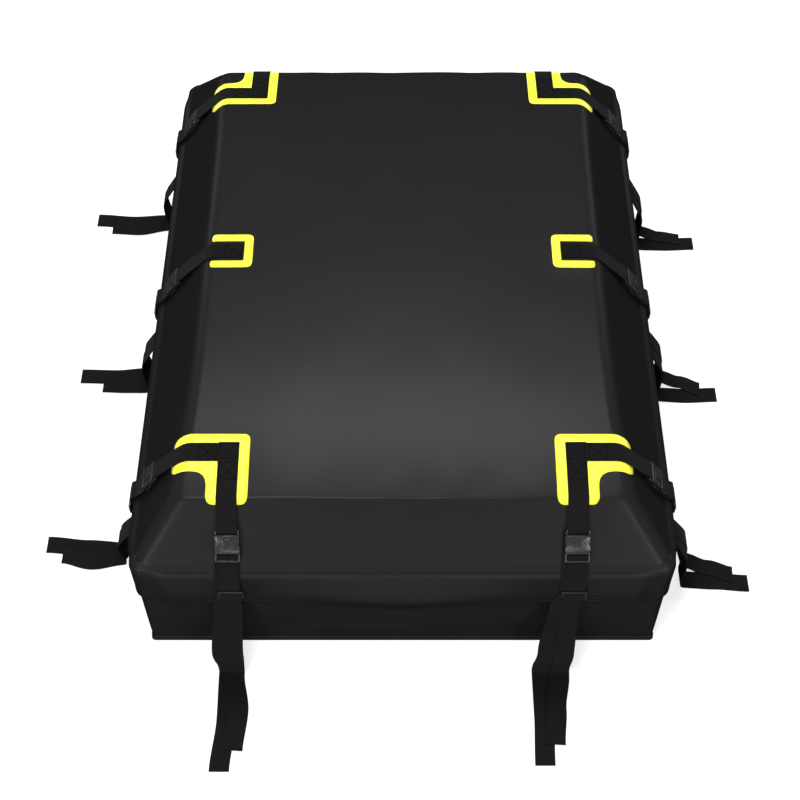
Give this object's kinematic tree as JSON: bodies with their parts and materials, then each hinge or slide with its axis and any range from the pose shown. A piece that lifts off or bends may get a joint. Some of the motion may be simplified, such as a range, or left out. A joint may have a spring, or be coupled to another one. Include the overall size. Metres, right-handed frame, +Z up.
{
  "type": "roof cargo bag",
  "caption": "Soft rectangular cargo bag for a car roof, with a sloped zip lid under a storm flap, buckled webbing straps with loose loops, and bright patches.",
  "frame": {"origin": "centre of the base's underside", "axes": "+Z up, -Y towards the front end, +Y along the bag's length"},
  "size_m": [1.4322, 1.7822, 0.4236],
  "materials": {
    "tarpaulin": "smooth semi-gloss PVC-coated tarpaulin",
    "zip_tape": "woven tape with moulded coil",
    "zip_metal": "black coated",
    "webbing": "plain-weave polyester webbing",
    "buckle": "satin moulded acetal",
    "reflective": "fluorescent yellow reflective sheet"
  },
  "bodies": {
    "bag": {"base_tub": "tarpaulin", "lid_shell": "tarpaulin", "storm_flap": "tarpaulin", "zip_lower_tape": "zip_tape", "zip_upper_tape": "zip_tape", "reflective_patch_front_left": "reflective", "reflective_patch_front_right": "reflective", "reflective_patch_back_left": "reflective", "reflective_patch_back_right": "reflective", "reflective_patch_middle_left": "reflective", "reflective_patch_middle_right": "reflective", "anchor_strap_front_left": "webbing", "strap_loop_front_left": "webbing", "buckle_socket_front_left": "buckle", "buckle_tongue_front_left": "buckle", "anchor_strap_front_right": "webbing", "strap_loop_front_right": "webbing", "buckle_socket_front_right": "buckle", "buckle_tongue_front_right": "buckle", "anchor_strap_back_left": "webbing", "strap_loop_back_left": "webbing", "buckle_socket_back_left": "buckle", "buckle_tongue_back_left": "buckle", "anchor_strap_back_right": "webbing", "strap_loop_back_right": "webbing", "buckle_socket_back_right": "buckle", "buckle_tongue_back_right": "buckle", "anchor_strap_left_front": "webbing", "strap_loop_left_front": "webbing", "buckle_socket_left_front": "buckle", "buckle_tongue_left_front": "buckle", "anchor_strap_left_middle": "webbing", "strap_loop_left_middle": "webbing", "buckle_socket_left_middle": "buckle", "buckle_tongue_left_middle": "buckle", "anchor_strap_left_back": "webbing", "strap_loop_left_back": "webbing", "buckle_socket_left_back": "buckle", "buckle_tongue_left_back": "buckle", "anchor_strap_right_front": "webbing", "strap_loop_right_front": "webbing", "buckle_socket_right_front": "buckle", "buckle_tongue_right_front": "buckle", "anchor_strap_right_middle": "webbing", "strap_loop_right_middle": "webbing", "buckle_socket_right_middle": "buckle", "buckle_tongue_right_middle": "buckle", "anchor_strap_right_back": "webbing", "strap_loop_right_back": "webbing", "buckle_socket_right_back": "buckle", "buckle_tongue_right_back": "buckle"},
    "slider_left": {"zip_slider_left": "zip_metal", "zip_pull_left": "webbing"},
    "slider_right": {"zip_slider_right": "zip_metal", "zip_pull_right": "webbing"}
  },
  "joints": [
    {"name": "zip_left_slide", "type": "slide", "parent": "bag", "child": "slider_left", "axis": [-1, 0, 0], "range_m": [0, 0.41]},
    {"name": "zip_right_slide", "type": "slide", "parent": "bag", "child": "slider_right", "axis": [1, 0, 0], "range_m": [0, 0.41]}
  ]
}
